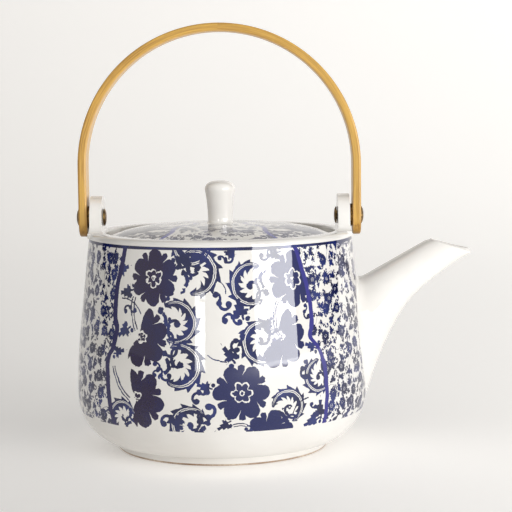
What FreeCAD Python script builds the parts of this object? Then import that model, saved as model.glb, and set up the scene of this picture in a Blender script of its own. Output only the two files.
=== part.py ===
"""A porcelain teapot with a bamboo bail handle, in millimetres.

+Z is up and the spout points along +X. The origin is the centre of the plane that the foot ring
rests on. Each sub-part is one solid, written to parts/NAME.step.
"""
import FreeCAD, Part
import math
import os

# ---- Driving dimensions ------------------------------------------------------------------------
# Bowl: a round lower corner, a wall that leans in a little, and a rim ring
BELLY_R = 72.6              # widest outside radius
BELLY_Z = 28.0              # height of the widest ring
CORNER_R = 26.0             # the big round between wall and base
TUCK_R = 6.0                # the smaller round that runs in to the foot
WALL_ARC_R = 300.0          # upright curve of the wall above the widest ring
WALL_LEAN = 0.112           # how far the straight upper wall leans in, per mm of height
RIM_Z = 108.5               # top of the rim
RIM_W = 8.3                 # width of the rim ring between its outer edge and the lid's recess
SHOULDER_R = 2.4            # rounding of the rim's outer edge
SHOULDER_MID = 0.27         # middle of that round, in from the corner, as a share of its radius
LIP_R = 1.2                 # rounding of the rim's inner edge
WALL = 3.6                  # wall thickness
FLOOR_T = 4.0               # floor thickness
FLOOR_ROUND = 8.0           # round between floor and wall inside
FOOT_INSET = 19.8           # foot ring's outer edge, in from the widest radius
FOOT_W = 4.2                # width of the foot ring
FOOT_H = 4.7                # height of the foot ring outside
FOOT_RECESS = 3.4           # depth of the hollow inside the foot ring
FOOT_EDGE_R = 1.0           # rounding of the foot ring's edges
# Seat for the lid
SEAT_DROP = 5.5             # seat below the rim's top
SEAT_W = 8.3                # width of the seat ledge
LEDGE_T = 4.0               # thickness of the ledge at the mouth
LEDGE_SLOPE = 7.0           # height of the slanted underside of the ledge
# Lid and knob
LID_GAP = 0.7               # lid's edge to the recess wall
LID_REST_GAP = 0.1          # lid's underside to the seat
LID_EDGE_T = 2.8            # thickness of the lid at its edge
LID_EDGE_R = 1.0            # rounding of the lid's top edge
LID_EDGE_MID = 0.29         # middle of that round, in from the corner, as a share of its radius
LID_RISE = 6.2              # dome's rise from edge to crown
LID_FLATNESS = 3.6          # power of the dome's curve: 2 is a bowl, more is flatter on top
DOME_STEPS = 7              # spans of that curve
LID_T = 3.2                 # thickness under the crown
RING_GAP = 0.9              # locating ring to the mouth
RING_W = 3.2                # width of the locating ring
RING_H = 9.0                # depth of the locating ring below the seat
RING_EDGE_R = 1.2
AIR_HOLE_R = 1.6
AIR_HOLE_Y = 19.0           # behind the knob
KNOB_BASE_R = 6.1
KNOB_TOP_R = 7.6
KNOB_WAIST = 0.28           # share of the widening that the knob has half-way up
KNOB_H = 21.3               # knob's top above the crown
KNOB_CAP_H = 4.3            # height of the rounded top
KNOB_CAP_FULL_OUT = 0.8     # powers that fill out the rounded top: 1 and 1 are a plain oval
KNOB_CAP_FULL_UP = 0.9
KNOB_CAP_STEPS = 6
KNOB_SINK = 1.5             # how deep the blank goes before the lid trims it
# Lugs
LUG_T = 6.0
LUG_INSET = 0.9             # outer face, in from the rim's outer edge
LUG_H = 17.7                # top above the rim
LUG_TOP_R = 11.8            # round top, seen from the side of the pot
LUG_BASE_W = 25.0           # width at the rim
LUG_EDGE_R = 2.3
PIVOT_DROP = 10.7           # pivot below the lug's top
# Handle
HANDLE_T = 4.1
HANDLE_W = 15.5
WALL_CLEAR = 0.42           # inner face to the wall, beside the leg's end
HANDLE_TAIL = 9.7           # leg's end below the pivot
HANDLE_RISE = 25.5          # straight leg above the pivot
HANDLE_EDGE_R = 0.9
# Pivots
SHANK_R = 2.2
SHANK_CLEAR = 0.08          # shank in the lug's hole, a running fit
HEAD_R = 4.4
HEAD_H = 1.6
CAP_R = 4.3
CAP_H = 1.25
WASHER_R = 5.6
SIDE_CLEAR = 0.25           # cap and washer to the lug's faces
# Spout
SPOUT_LOW_Z = 20.0          # where its under-edge leaves the wall
SPOUT_LOW_SINK = 1.5        # how far inside the wall's face that edge starts
SPOUT_HIGH_DROP = 25.6      # where its upper edge leaves the wall, below the rim
SPOUT_REACH = 53.6          # tip, out from the widest radius
MOUTH_HIGH_DROP = 4.9       # high edge of the slanted mouth, below the rim
MOUTH_LOW_DROP = 12.2       # tip of the mouth, below the rim
MOUTH_LENGTH = 20.9         # high edge to tip, seen from above
SPOUT_ROOT_W = 36.0
SPOUT_MOUTH_W = 14.5
SPOUT_WALL = 2.8
SPOUT_LIP_R = 0.9
SPOUT_ROOT_DEPTH = 14.0     # how far the blank starts inside the wall
SPOUT_RUN_ON = 6.0          # how far the blank runs on past the mouth before it is cut
RUN_ON_SLOPE = 35.0         # its under-edge's slope there, in degrees
KNEE_OUT = 0.38             # the under-edge's knee, as shares of the way from wall to tip
KNEE_UP = 0.71
TOP_EASE = 1.3              # powers that set how the sections are spread along the top edge
WIDTH_EASE = 1.5            # and how the width falls from root to mouth
SPOUT_SECTIONS = 7
OVAL_POINTS = 12
# Strainer: holes pierced through the wall behind the spout
STRAIN_R = 2.2
STRAIN_PITCH = 8.4
STRAIN_MARGIN = 3.6         # hole's edge to the spout's inside

NEAR = 0.01                 # lengths under this count as none when edges are picked


def at(x, z, y=0.0):
    return FreeCAD.Vector(x, y, z)


def on_arc(cx, cz, r, angle):
    """Point at an angle in degrees on a circle in the XZ plane, 0 along +X and 90 up."""
    a = math.radians(angle)
    return at(cx + r * math.cos(a), cz + r * math.sin(a))


def arc(cx, cz, r, start, end):
    return Part.Arc(on_arc(cx, cz, r, start), on_arc(cx, cz, r, (start + end) / 2),
                    on_arc(cx, cz, r, end)).toShape()


def line(a, b):
    return Part.LineSegment(a, b).toShape()


def turned(edges):
    """Solid of revolution about Z from a closed outline in the XZ plane."""
    outline = Part.Wire(Part.__sortEdges__(edges))
    return Part.makeSolid(Part.Face(outline).revolve(at(0, 0), FreeCAD.Vector(0, 0, 1), 360))


# ---- Places that several pieces share ----------------------------------------------------------
lean = math.degrees(math.atan(WALL_LEAN))
wall_cx = BELLY_R - WALL_ARC_R
lean_x = wall_cx + WALL_ARC_R * math.cos(math.radians(lean))
lean_z = BELLY_Z + WALL_ARC_R * math.sin(math.radians(lean))
foot_r = BELLY_R - FOOT_INSET
corner_cx = BELLY_R - CORNER_R


def wall_r(z):
    """Outside radius of the straight upper wall."""
    return lean_x - (z - lean_z) * WALL_LEAN


def outer_r(z):
    """Outside radius of the bowl anywhere above its lower corner's tuck."""
    if z > lean_z:
        return wall_r(z)
    if z > BELLY_Z:
        return wall_cx + math.sqrt(WALL_ARC_R ** 2 - (z - BELLY_Z) ** 2)
    return corner_cx + math.sqrt(CORNER_R ** 2 - (z - BELLY_Z) ** 2)


rim_r = wall_r(RIM_Z)
recess_r = rim_r - RIM_W
seat_z = RIM_Z - SEAT_DROP
mouth_r = recess_r - SEAT_W
floor_z = FOOT_RECESS + FLOOR_T
lid_r = recess_r - LID_GAP
lid_z = seat_z + LID_REST_GAP
crown_z = lid_z + LID_EDGE_T + LID_RISE
lug_out = rim_r - LUG_INSET
lug_in = lug_out - LUG_T
lug_top = RIM_Z + LUG_H
pivot_z = lug_top - PIVOT_DROP
handle_in = wall_r(pivot_z - HANDLE_TAIL) + WALL_CLEAR
handle_out = handle_in + HANDLE_T
crown_cz = pivot_z + HANDLE_RISE


def tuck(r_big, r_small, floor):
    """Centre and angle of the small arc that joins the corner's arc to a level floor inside it."""
    drop = BELLY_Z - floor - r_small
    reach = math.sqrt((r_big - r_small) ** 2 - drop ** 2)
    return corner_cx + reach, floor + r_small, -math.degrees(math.atan2(drop, reach))


# ---- Pot body ----------------------------------------------------------------------------------
def bowl_outside():
    """Outer edges of the bowl, from the foot's top corner to the start of the shoulder."""
    cx, cz, angle = tuck(CORNER_R, TUCK_R, FOOT_H)
    shoulder = at(wall_r(RIM_Z - SHOULDER_R), RIM_Z - SHOULDER_R)
    return [
        line(at(foot_r, FOOT_H), at(cx, FOOT_H)),
        arc(cx, cz, TUCK_R, -90, angle),
        arc(corner_cx, BELLY_Z, CORNER_R, angle, 0),
        arc(wall_cx, BELLY_Z, WALL_ARC_R, 0, lean),
        line(at(lean_x, lean_z), shoulder),
    ], shoulder


def shoulder_edges(shoulder):
    """Rounded outer corner of the rim, and the level top as far as the lip's round."""
    top = at(rim_r - SHOULDER_R, RIM_Z)
    inset = SHOULDER_MID * SHOULDER_R
    middle = at(rim_r - inset, RIM_Z - inset)
    return [Part.Arc(shoulder, middle, top).toShape(), line(top, at(recess_r + LIP_R, RIM_Z))]


def bowl_filled():
    """The bowl's outside as a filled solid, to trim what is luted on."""
    outside, shoulder = bowl_outside()
    rim = shoulder_edges(shoulder)
    middle = at(0, RIM_Z)
    return turned(outside + rim + [
        line(at(recess_r + LIP_R, RIM_Z), middle),
        line(middle, at(0, FOOT_H)),
        line(at(0, FOOT_H), at(foot_r, FOOT_H)),
    ])


def pot_body():
    outside, shoulder = bowl_outside()
    foot_in = foot_r - FOOT_W
    foot = [
        line(at(foot_r, FOOT_H), at(foot_r, FOOT_EDGE_R)),
        arc(foot_r - FOOT_EDGE_R, FOOT_EDGE_R, FOOT_EDGE_R, 0, -90),
        line(at(foot_r - FOOT_EDGE_R, 0), at(foot_in + FOOT_EDGE_R, 0)),
        arc(foot_in + FOOT_EDGE_R, FOOT_EDGE_R, FOOT_EDGE_R, -90, -180),
        line(at(foot_in, FOOT_EDGE_R), at(foot_in, FOOT_RECESS)),
        line(at(foot_in, FOOT_RECESS), at(0, FOOT_RECESS)),
    ]
    ledge_z = seat_z - LEDGE_T
    meet_z = ledge_z - LEDGE_SLOPE
    meet_x = wall_r(meet_z) - WALL
    seat = [
        arc(recess_r + LIP_R, RIM_Z - LIP_R, LIP_R, 90, 180),
        line(at(recess_r, RIM_Z - LIP_R), at(recess_r, seat_z)),
        line(at(recess_r, seat_z), at(mouth_r, seat_z)),
        line(at(mouth_r, seat_z), at(mouth_r, ledge_z)),
        line(at(mouth_r, ledge_z), at(meet_x, meet_z)),
    ]
    inner_arc_r = WALL_ARC_R - WALL
    inner_corner_r = CORNER_R - WALL
    cx, cz, angle = tuck(inner_corner_r, FLOOR_ROUND, floor_z)
    # The inner wall runs parallel to the outer one, so it leaves its arc at the same angle
    inner_lean = on_arc(wall_cx, BELLY_Z, inner_arc_r, lean)
    inside = [
        line(at(meet_x, meet_z), inner_lean),
        arc(wall_cx, BELLY_Z, inner_arc_r, lean, 0),
        arc(corner_cx, BELLY_Z, inner_corner_r, 0, angle),
        arc(cx, cz, FLOOR_ROUND, angle, -90),
        line(at(cx, floor_z), at(0, floor_z)),
        line(at(0, floor_z), at(0, FOOT_RECESS)),
    ]
    bowl = turned(outside + shoulder_edges(shoulder) + seat + inside + foot)
    return bowl.cut(Part.makeCompound(strainer_pins()))


def strainer_pins():
    """Pins along X for the pierced holes, in a staggered pattern inside the spout's root."""
    low = SPOUT_LOW_Z + SPOUT_WALL
    high = RIM_Z - SPOUT_HIGH_DROP - SPOUT_WALL
    middle = (low + high) / 2
    half_h = (high - low) / 2 - STRAIN_MARGIN - STRAIN_R
    half_w = SPOUT_ROOT_W / 2 - SPOUT_WALL - STRAIN_MARGIN - STRAIN_R
    row_step = STRAIN_PITCH * math.sin(math.radians(60))
    rows = int(half_h / row_step)
    columns = int(half_w / STRAIN_PITCH) + 1
    pins = []
    for row in range(-rows, rows + 1):
        shift = STRAIN_PITCH / 2 if row % 2 else 0.0
        for column in range(-columns, columns + 1):
            y = column * STRAIN_PITCH + shift
            z = row * row_step
            if (y / half_w) ** 2 + (z / half_h) ** 2 <= 1:
                pins.append(Part.makeCylinder(STRAIN_R, BELLY_R, at(BELLY_R / 2, middle + z, y),
                                              FreeCAD.Vector(1, 0, 0)))
    return pins


# ---- Spout -------------------------------------------------------------------------------------
def mouth_ends():
    tip = at(BELLY_R + SPOUT_REACH, RIM_Z - MOUTH_LOW_DROP)
    high = at(tip.x - MOUTH_LENGTH, RIM_Z - MOUTH_HIGH_DROP)
    return high, tip


def under_edge(t):
    """The spout's under-edge: a cubic curve whose two middle control points lie on its knee."""
    tip = mouth_ends()[1]
    start = at(outer_r(SPOUT_LOW_Z) - SPOUT_LOW_SINK, SPOUT_LOW_Z)
    knee = start + at(KNEE_OUT * (tip.x - start.x), KNEE_UP * (tip.z - start.z))
    end = tip + at(math.cos(math.radians(RUN_ON_SLOPE)),
                   math.sin(math.radians(RUN_ON_SLOPE))) * SPOUT_RUN_ON
    return start * (1 - t) ** 3 + knee * (3 * t * (1 - t)) + end * t ** 3


def spout_blank(inset):
    """Loft of ovals from inside the wall to past the mouth, shrunk all round by inset."""
    high = mouth_ends()[0]
    root_high = at(outer_r(RIM_Z - SPOUT_HIGH_DROP), RIM_Z - SPOUT_HIGH_DROP)
    along = (high - root_high).normalize()
    top_start = root_high - along * SPOUT_ROOT_DEPTH
    top_end = high + along * (SPOUT_RUN_ON + MOUTH_LENGTH / 2)
    wires = []
    for i in range(SPOUT_SECTIONS):
        s = i / (SPOUT_SECTIONS - 1)
        top = top_start + (top_end - top_start) * s ** TOP_EASE
        low = under_edge(s)
        width = SPOUT_MOUTH_W + (SPOUT_ROOT_W - SPOUT_MOUTH_W) * (1 - s) ** WIDTH_EASE
        across = (top - low) * 0.5
        middle = (top + low) / 2
        half_h = across.Length - inset
        across = across.normalize() * half_h
        side = at(0, 0, width / 2 - inset)
        oval = Part.BSplineCurve()
        oval.interpolate([middle + across * math.cos(a) + side * math.sin(a)
                          for a in (2 * math.pi * k / OVAL_POINTS for k in range(OVAL_POINTS))],
                         PeriodicFlag=True)
        wires.append(Part.Wire(oval.toShape()))
    return Part.makeLoft(wires, True)


def mouth_cutter():
    """Block that lies on the mouth's slanted plane and takes away all above it."""
    high, tip = mouth_ends()
    slant = math.degrees(math.atan2(tip.z - high.z, tip.x - high.x))
    size = 3 * MOUTH_LENGTH
    block = Part.makeBox(2 * size, 2 * size, size, at(-size, 0, -size))
    block.rotate(at(0, 0), FreeCAD.Vector(0, -1, 0), slant)
    block.translate((high + tip) / 2)
    return block


def spout():
    pipe = spout_blank(0).cut(spout_blank(SPOUT_WALL))
    pipe = pipe.cut(mouth_cutter()).cut(bowl_filled())
    body = max(pipe.Solids, key=lambda piece: piece.Volume)
    high, tip = mouth_ends()
    flat = (tip - high).cross(FreeCAD.Vector(0, 1, 0)).normalize()
    lips = [edge for edge in body.Edges if abs((edge.CenterOfMass - high).dot(flat)) < NEAR]
    return body.makeFillet(SPOUT_LIP_R, lips)


# ---- Lugs --------------------------------------------------------------------------------------
def lug(side):
    """Upright ear on the rim: a tapered tongue with a round top, pierced for the rivet."""
    top_cz = lug_top - LUG_TOP_R
    base_z = RIM_Z - SHOULDER_R
    half = LUG_BASE_W / 2
    # The straight edge runs from the base corner to where it touches the round top
    reach = math.hypot(half, top_cz - base_z)
    touch = math.acos(LUG_TOP_R / reach) - math.atan2(top_cz - base_z, half)
    ty, tz = LUG_TOP_R * math.cos(touch), top_cz + LUG_TOP_R * math.sin(touch)
    outline = Part.Wire([
        line(at(lug_in, base_z, -half), at(lug_in, base_z, half)),
        line(at(lug_in, base_z, half), at(lug_in, tz, ty)),
        Part.Arc(at(lug_in, tz, ty), at(lug_in, lug_top), at(lug_in, tz, -ty)).toShape(),
        line(at(lug_in, tz, -ty), at(lug_in, base_z, -half)),
    ])
    tongue = Part.makeSolid(Part.Face(outline).extrude(FreeCAD.Vector(LUG_T, 0, 0)))
    rims = [edge for edge in tongue.Edges
            if edge.BoundBox.XLength < NEAR and edge.CenterOfMass.z > base_z + NEAR]
    tongue = tongue.makeFillet(LUG_EDGE_R, rims)
    hole = Part.makeCylinder(SHANK_R + SHANK_CLEAR, 2 * LUG_T, at(lug_in - LUG_T / 2, pivot_z),
                             FreeCAD.Vector(1, 0, 0))
    tongue = tongue.cut(hole).cut(bowl_filled())
    return to_side(tongue, side)


def to_side(shape, side):
    """A piece modelled at the spout's side (+X), or its mirror image at the other side."""
    return shape if side > 0 else shape.mirror(at(0, 0), FreeCAD.Vector(1, 0, 0))


# ---- Lid ---------------------------------------------------------------------------------------
def dome(x, reach, top):
    """Height of the dome's curve at radius x, from top at the middle down to its edge."""
    return top - LID_RISE * (x / reach) ** LID_FLATNESS


def dome_edge(reach, top, until):
    """Smooth edge along the dome's curve from the axis to radius until."""
    radii = [until * i / DOME_STEPS for i in range(DOME_STEPS + 1)]
    points = [at(x, dome(x, reach, top)) for x in radii]
    curve = Part.BSplineCurve()
    curve.interpolate(points)
    return curve.toShape(), points[-1]


def lid():
    top, edge_in = dome_edge(lid_r, crown_z, lid_r - LID_EDGE_R)
    edge_z = edge_in.z - LID_EDGE_R
    inset = LID_EDGE_MID * LID_EDGE_R
    ring_out = mouth_r - RING_GAP
    ring_in = ring_out - RING_W
    ring_z = lid_z - RING_H
    under, under_end = dome_edge(lid_r, crown_z - LID_T, ring_in)
    outline = [
        top,
        Part.Arc(edge_in, at(lid_r - inset, edge_in.z - inset), at(lid_r, edge_z)).toShape(),
        line(at(lid_r, edge_z), at(lid_r, lid_z)),
        line(at(lid_r, lid_z), at(ring_out, lid_z)),
        line(at(ring_out, lid_z), at(ring_out, ring_z + RING_EDGE_R)),
        arc(ring_out - RING_EDGE_R, ring_z + RING_EDGE_R, RING_EDGE_R, 0, -90),
        line(at(ring_out - RING_EDGE_R, ring_z), at(ring_in + RING_EDGE_R, ring_z)),
        arc(ring_in + RING_EDGE_R, ring_z + RING_EDGE_R, RING_EDGE_R, -90, -180),
        line(at(ring_in, ring_z + RING_EDGE_R), under_end),
        under,
        line(at(0, crown_z - LID_T), at(0, crown_z)),
    ]
    hole = Part.makeCylinder(AIR_HOLE_R, 4 * LID_T, at(0, crown_z - 2 * LID_T, AIR_HOLE_Y))
    return turned(outline).cut(hole)


def lid_knob(lid_solid):
    """Knob that widens upwards, trimmed to the crown that it is luted on."""
    base = at(0, crown_z - KNOB_SINK)
    foot = at(KNOB_BASE_R, base.z)
    top_z = crown_z + KNOB_H
    waist_z = (crown_z + top_z) / 2
    cap_z = top_z - KNOB_CAP_H
    waist_x = KNOB_BASE_R + KNOB_WAIST * (KNOB_TOP_R - KNOB_BASE_R)
    side = Part.Arc(foot, at(waist_x, waist_z), at(KNOB_TOP_R, cap_z)).toShape()
    # The top is a quarter of a flat oval
    crown = Part.BSplineCurve()
    turns = [math.radians(90 * i / KNOB_CAP_STEPS) for i in range(KNOB_CAP_STEPS + 1)]
    crown.interpolate([at(KNOB_TOP_R * math.cos(a) ** KNOB_CAP_FULL_OUT,
                          cap_z + KNOB_CAP_H * math.sin(a) ** KNOB_CAP_FULL_UP) for a in turns])
    blank = turned([line(base, foot), side, crown.toShape(), line(at(0, top_z), base)])
    return blank.cut(lid_solid)


# ---- Handle ------------------------------------------------------------------------------------
def bamboo_handle():
    """One bent strip: straight legs with round ends, joined by a half circle."""
    def path(x):
        return [line(at(-x, pivot_z), at(-x, crown_cz)), arc(0, crown_cz, x, 180, 0),
                line(at(x, crown_cz), at(x, pivot_z))]

    def closed(upper, lower):
        ends = [line(at(-handle_out, lower), at(-handle_in, lower)),
                line(at(handle_in, lower), at(handle_out, lower))]
        return Part.Face(Part.Wire(Part.__sortEdges__(upper + ends)))

    strip = closed(path(handle_in) + path(handle_out), pivot_z)
    strip = strip.extrude(FreeCAD.Vector(0, HANDLE_W, 0))
    strip.translate(at(0, 0, -HANDLE_W / 2))
    # The leg's end is a half circle of the strip's width, seen from the side of the pot
    end_r = HANDLE_W / 2
    end_z = pivot_z - HANDLE_TAIL + end_r
    parts = [strip]
    for side in (-1, 1):
        corner = min(side * handle_in, side * handle_out)
        leg = Part.makeBox(HANDLE_T, HANDLE_W, pivot_z - end_z, at(corner, end_z, -end_r))
        end = Part.makeCylinder(end_r, HANDLE_T, at(corner, end_z), FreeCAD.Vector(1, 0, 0))
        parts += [leg, end]
    bent = parts[0].multiFuse(parts[1:]).removeSplitter()
    edges = [edge for edge in bent.Edges
             if edge.BoundBox.XLength < NEAR or edge.BoundBox.YLength < NEAR]
    bent = bent.makeFillet(HANDLE_EDGE_R, edges)
    bore = Part.makeCylinder(SHANK_R, 4 * handle_out, at(-2 * handle_out, pivot_z),
                             FreeCAD.Vector(1, 0, 0))
    return bent.cut(bore)


def domed(x, r, h, outwards):
    """Low dome standing on the plane at x, facing along outwards times X, on the pivot's axis."""
    ball_r = (r * r + h * h) / (2 * h)
    centre = at(x - outwards * (ball_r - h), pivot_z)
    slab = Part.makeCylinder(r, h, at(x, pivot_z), FreeCAD.Vector(outwards, 0, 0))
    return Part.makeSphere(ball_r, centre).common(slab)


def rivet(side):
    """Domed head outside the bamboo, with the shank that the handle turns on."""
    shank_end = lug_in - SIDE_CLEAR - CAP_H / 2
    shank = Part.makeCylinder(SHANK_R, handle_out - shank_end, at(shank_end, pivot_z),
                              FreeCAD.Vector(1, 0, 0))
    return to_side(domed(handle_out, HEAD_R, HEAD_H, 1).fuse(shank).removeSplitter(), side)


def rivet_cap(side):
    """Inner head, pressed on the shank's end inside the lug."""
    return to_side(domed(lug_in - SIDE_CLEAR, CAP_R, CAP_H, -1).cut(rivet(1)), side)


def washer(side):
    """Spacer between bamboo and lug."""
    inner = lug_out + SIDE_CLEAR
    disc = Part.makeCylinder(WASHER_R, handle_in - inner, at(inner, pivot_z),
                             FreeCAD.Vector(1, 0, 0))
    return to_side(disc.cut(rivet(1)), side)


# ---- Write -------------------------------------------------------------------------------------
def main():
    lid_solid = lid()
    nodes = {
        "pot_body": pot_body(),
        "spout": spout(),
        "lid": lid_solid,
        "lid_knob": lid_knob(lid_solid),
        "bamboo_handle": bamboo_handle(),
    }
    for word, side in (("left", -1), ("right", 1)):
        nodes["lug_" + word] = lug(side)
        nodes["rivet_" + word] = rivet(side)
        nodes["rivet_cap_" + word] = rivet_cap(side)
        nodes["washer_" + word] = washer(side)
    os.makedirs("parts", exist_ok=True)
    for name, shape in nodes.items():
        shape.exportStep(os.path.join("parts", name + ".step"))
        box = shape.BoundBox
        print(f"{name}: solids {len(shape.Solids)}, valid {shape.isValid()}, "
              f"{shape.Volume / 1000:.2f} cm3, z {box.ZMin:.2f} to {box.ZMax:.2f}, "
              f"x {box.XMin:.2f} to {box.XMax:.2f}")
    print(f"pivot at z {pivot_z:.2f}, handle inside x {handle_in:.2f}, rim radius {rim_r:.2f}")


main()
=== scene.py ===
"""Looks of a blue-and-white porcelain teapot with a bamboo bail handle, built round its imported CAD."""

import math

import bpy
from mathutils import Matrix, Vector


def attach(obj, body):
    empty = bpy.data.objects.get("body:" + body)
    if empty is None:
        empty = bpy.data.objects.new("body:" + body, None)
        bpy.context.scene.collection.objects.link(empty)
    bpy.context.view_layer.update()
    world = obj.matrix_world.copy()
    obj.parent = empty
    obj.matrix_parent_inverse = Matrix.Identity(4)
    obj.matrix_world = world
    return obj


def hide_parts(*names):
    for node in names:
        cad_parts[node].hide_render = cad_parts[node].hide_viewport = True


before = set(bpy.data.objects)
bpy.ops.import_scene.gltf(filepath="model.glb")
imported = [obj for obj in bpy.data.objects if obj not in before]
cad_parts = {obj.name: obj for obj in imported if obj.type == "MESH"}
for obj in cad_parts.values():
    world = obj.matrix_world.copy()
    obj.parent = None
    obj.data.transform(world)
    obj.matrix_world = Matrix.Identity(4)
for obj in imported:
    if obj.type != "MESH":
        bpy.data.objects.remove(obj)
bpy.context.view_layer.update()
MM = 0.001

# ---- Sizes in mm, as the porcelain maker's and the handle maker's drawings have them --------------
# Bowl: widest ring, lower corner, long wall arc that ends in a straight lean, rim and its rounds
BELLY_R, BELLY_Z, CORNER_R, TUCK_R = 72.6, 28.0, 26.0, 6.0
WALL_ARC_R, WALL_LEAN, WALL = 300.0, 0.112, 3.6
RIM_Z, SHOULDER_R, LIP_R = 108.5, 2.4, 1.2
# Foot ring, floor, and the stepped seat for the lid
FOOT_OUT, FOOT_IN, FOOT_H, FOOT_RECESS, FLOOR_Z = 52.8, 48.6, 4.7, 3.4, 7.4
RECESS_R, SEAT_Z, MOUTH_R, LEDGE_Z = 57.16, 103.0, 48.86, 99.0
# Straining holes: radius, spacing, middle height, and the oval that they fill
STRAIN_R, STRAIN_PITCH, STRAIN_Z, STRAIN_OVAL = 2.2, 8.4, 51.45, (9.4, 22.85)
LID_R, LID_Z, CROWN_Z, LID_RISE, LID_FLATNESS, LID_T = 56.46, 103.1, 112.1, 6.2, 3.6, 3.2
PIVOT_Z, LUG_IN, LUG_OUT, LUG_TOP_R, LUG_TOP_Z, LUG_BORE_R = 115.5, 58.56, 64.56, 11.8, 126.2, 2.28
HANDLE_IN, HANDLE_OUT, HANDLE_W, HANDLE_LOW, ARCH_Z = 66.18, 70.28, 15.5, 105.8, 141.0
SHANK_R, HANDLE_BORE_R, PLAY = 2.2, 2.3, 0.25           # play on each side of a lug
# Spout: top and tip of its slanting mouth as (x, z), and the slip fillet where it is luted on
SPOUT_HIGH, SPOUT_TIP, SPOUT_WALL, SPOUT_LIP, FILLET = (105.3, 103.6), (126.2, 96.3), 2.8, 0.9, 4.6
PRINT_LOW, PRINT_HIGH, BAND_LOW = 20.2, 105.6, 104.2    # cut edges of the print, and its dark band
ROUND_STEPS = 192                                       # facets round the bowl, 2.4 mm each
POLE = 0.001                                            # radius of a ring that close() merges

lean = math.atan(WALL_LEAN)
wall_cx, corner_cx = BELLY_R - WALL_ARC_R, BELLY_R - CORNER_R
lean_x, lean_z = wall_cx + WALL_ARC_R * math.cos(lean), BELLY_Z + WALL_ARC_R * math.sin(lean)


def wall_r(z):
    """Radius of the bowl's outside at height z."""
    if z > lean_z:
        return lean_x - (z - lean_z) * WALL_LEAN
    if z > BELLY_Z:
        return wall_cx + math.sqrt(WALL_ARC_R ** 2 - (z - BELLY_Z) ** 2)
    return corner_cx + math.sqrt(CORNER_R ** 2 - (z - BELLY_Z) ** 2)


def arc(cx, cz, r, start, end, steps):
    """Points of an arc in a profile, angles in degrees, 0 outwards and 90 up."""
    turns = [math.radians(start + (end - start) * i / steps) for i in range(steps + 1)]
    return [(cx + r * math.cos(a), cz + r * math.sin(a)) for a in turns]


def tuck(r_big, r_small, floor):
    """Centre and angle of the small round between the lower corner and a level floor."""
    drop = BELLY_Z - floor - r_small
    reach = math.sqrt((r_big - r_small) ** 2 - drop ** 2)
    return corner_cx + reach, floor + r_small, -math.degrees(math.atan2(drop, reach))


# ---- Modelling ---------------------------------------------------------------------------------
def alone(piece):
    """The piece selected and active, and nothing else."""
    bpy.ops.object.select_all(action="DESELECT")
    bpy.context.view_layer.objects.active = piece
    piece.select_set(True)


def edit(piece):
    """The piece alone, in edit mode with all of it selected."""
    alone(piece)
    bpy.ops.object.mode_set(mode="EDIT")
    bpy.ops.mesh.select_mode(type="VERT")
    bpy.ops.mesh.select_all(action="SELECT")


def start(primitive, **settings):
    """A new primitive on its own, in edit mode and selected, its object at the origin."""
    bpy.ops.object.select_all(action="DESELECT")
    primitive(**settings)
    bpy.ops.object.transform_apply(location=True, rotation=True, scale=True)
    piece = bpy.context.object
    edit(piece)
    return piece


def extrude(x, z):
    """Extrudes what is selected by so many mm."""
    bpy.ops.mesh.extrude_region_move(TRANSFORM_OT_translate={"value": (x * MM, 0, z * MM)})


def close(piece, name, sharp=40, merge=0.004):
    """Doubles merged, faces turned outwards and shaded; back in object mode."""
    bpy.ops.mesh.select_all(action="SELECT")
    bpy.ops.mesh.remove_doubles(threshold=merge * MM)
    bpy.ops.mesh.normals_make_consistent(inside=False)
    bpy.ops.object.mode_set(mode="OBJECT")
    bpy.ops.object.shade_smooth_by_angle(angle=math.radians(sharp))
    piece.name = piece.data.name = name
    return piece


def apply(piece, kind, **settings):
    """One modifier, added and applied."""
    alone(piece)
    step = piece.modifiers.new(kind, kind)
    for word, value in settings.items():
        setattr(step, word, value)
    bpy.ops.object.modifier_apply(modifier=step.name)


def round_edges(piece, width, segments):
    """Rounds the edges between faces that meet at more than 50 degrees."""
    apply(piece, "BEVEL", width=width * MM, segments=segments, limit_method="ANGLE",
          angle_limit=math.radians(50))


def choose(piece, chosen, mode="VERT"):
    """Selects the vertices or edges that the test picks by place, from edit mode."""
    bpy.ops.mesh.select_mode(type=mode)
    bpy.ops.mesh.select_all(action="DESELECT")
    bpy.ops.object.mode_set(mode="OBJECT")
    mesh = piece.data
    for vertex in mesh.vertices if mode == "VERT" else []:
        vertex.select = chosen(vertex.co / MM)
    for line in mesh.edges if mode == "EDGE" else []:
        line.select = chosen(*(mesh.vertices[i].co / MM for i in line.vertices))
    bpy.ops.object.mode_set(mode="EDIT")


def turned(name, profile, steps, axis=2, x=0.0, z=0.0, sharp=40):
    """Lathe work: a ring extruded and scaled from point to point of its profile (radius, height)."""
    along = Vector([float(i == axis) for i in range(3)])
    spots = [(Vector((x, 0, z)) + along * h) * MM for r, h in profile]
    tilt = (0, 0, 0) if axis == 2 else (0, math.pi / 2, 0)
    piece = start(bpy.ops.mesh.primitive_circle_add, vertices=steps, radius=profile[0][0] * MM,
                  location=spots[0], rotation=tilt)
    for (r0, h0), (r1, h1), spot in zip(profile, profile[1:], spots[1:]):
        extrude(*((h1 - h0) * along).xz)
        grow = [1.0 if i == axis else r1 / r0 for i in range(3)]
        bpy.ops.transform.resize(value=grow, center_override=spot)
    return close(piece, name, sharp)


def drill(piece, radius, depth, centre, steps=48, tilt=90):
    """Bores a round hole: along X, or upright with no tilt."""
    tool = start(bpy.ops.mesh.primitive_cylinder_add, vertices=steps, radius=radius * MM,
                 depth=depth * MM, location=Vector(centre) * MM, rotation=(0, math.radians(tilt), 0))
    close(tool, "drill")
    apply(piece, "BOOLEAN", operation="DIFFERENCE", object=tool, solver="EXACT")
    bpy.data.objects.remove(tool)


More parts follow.
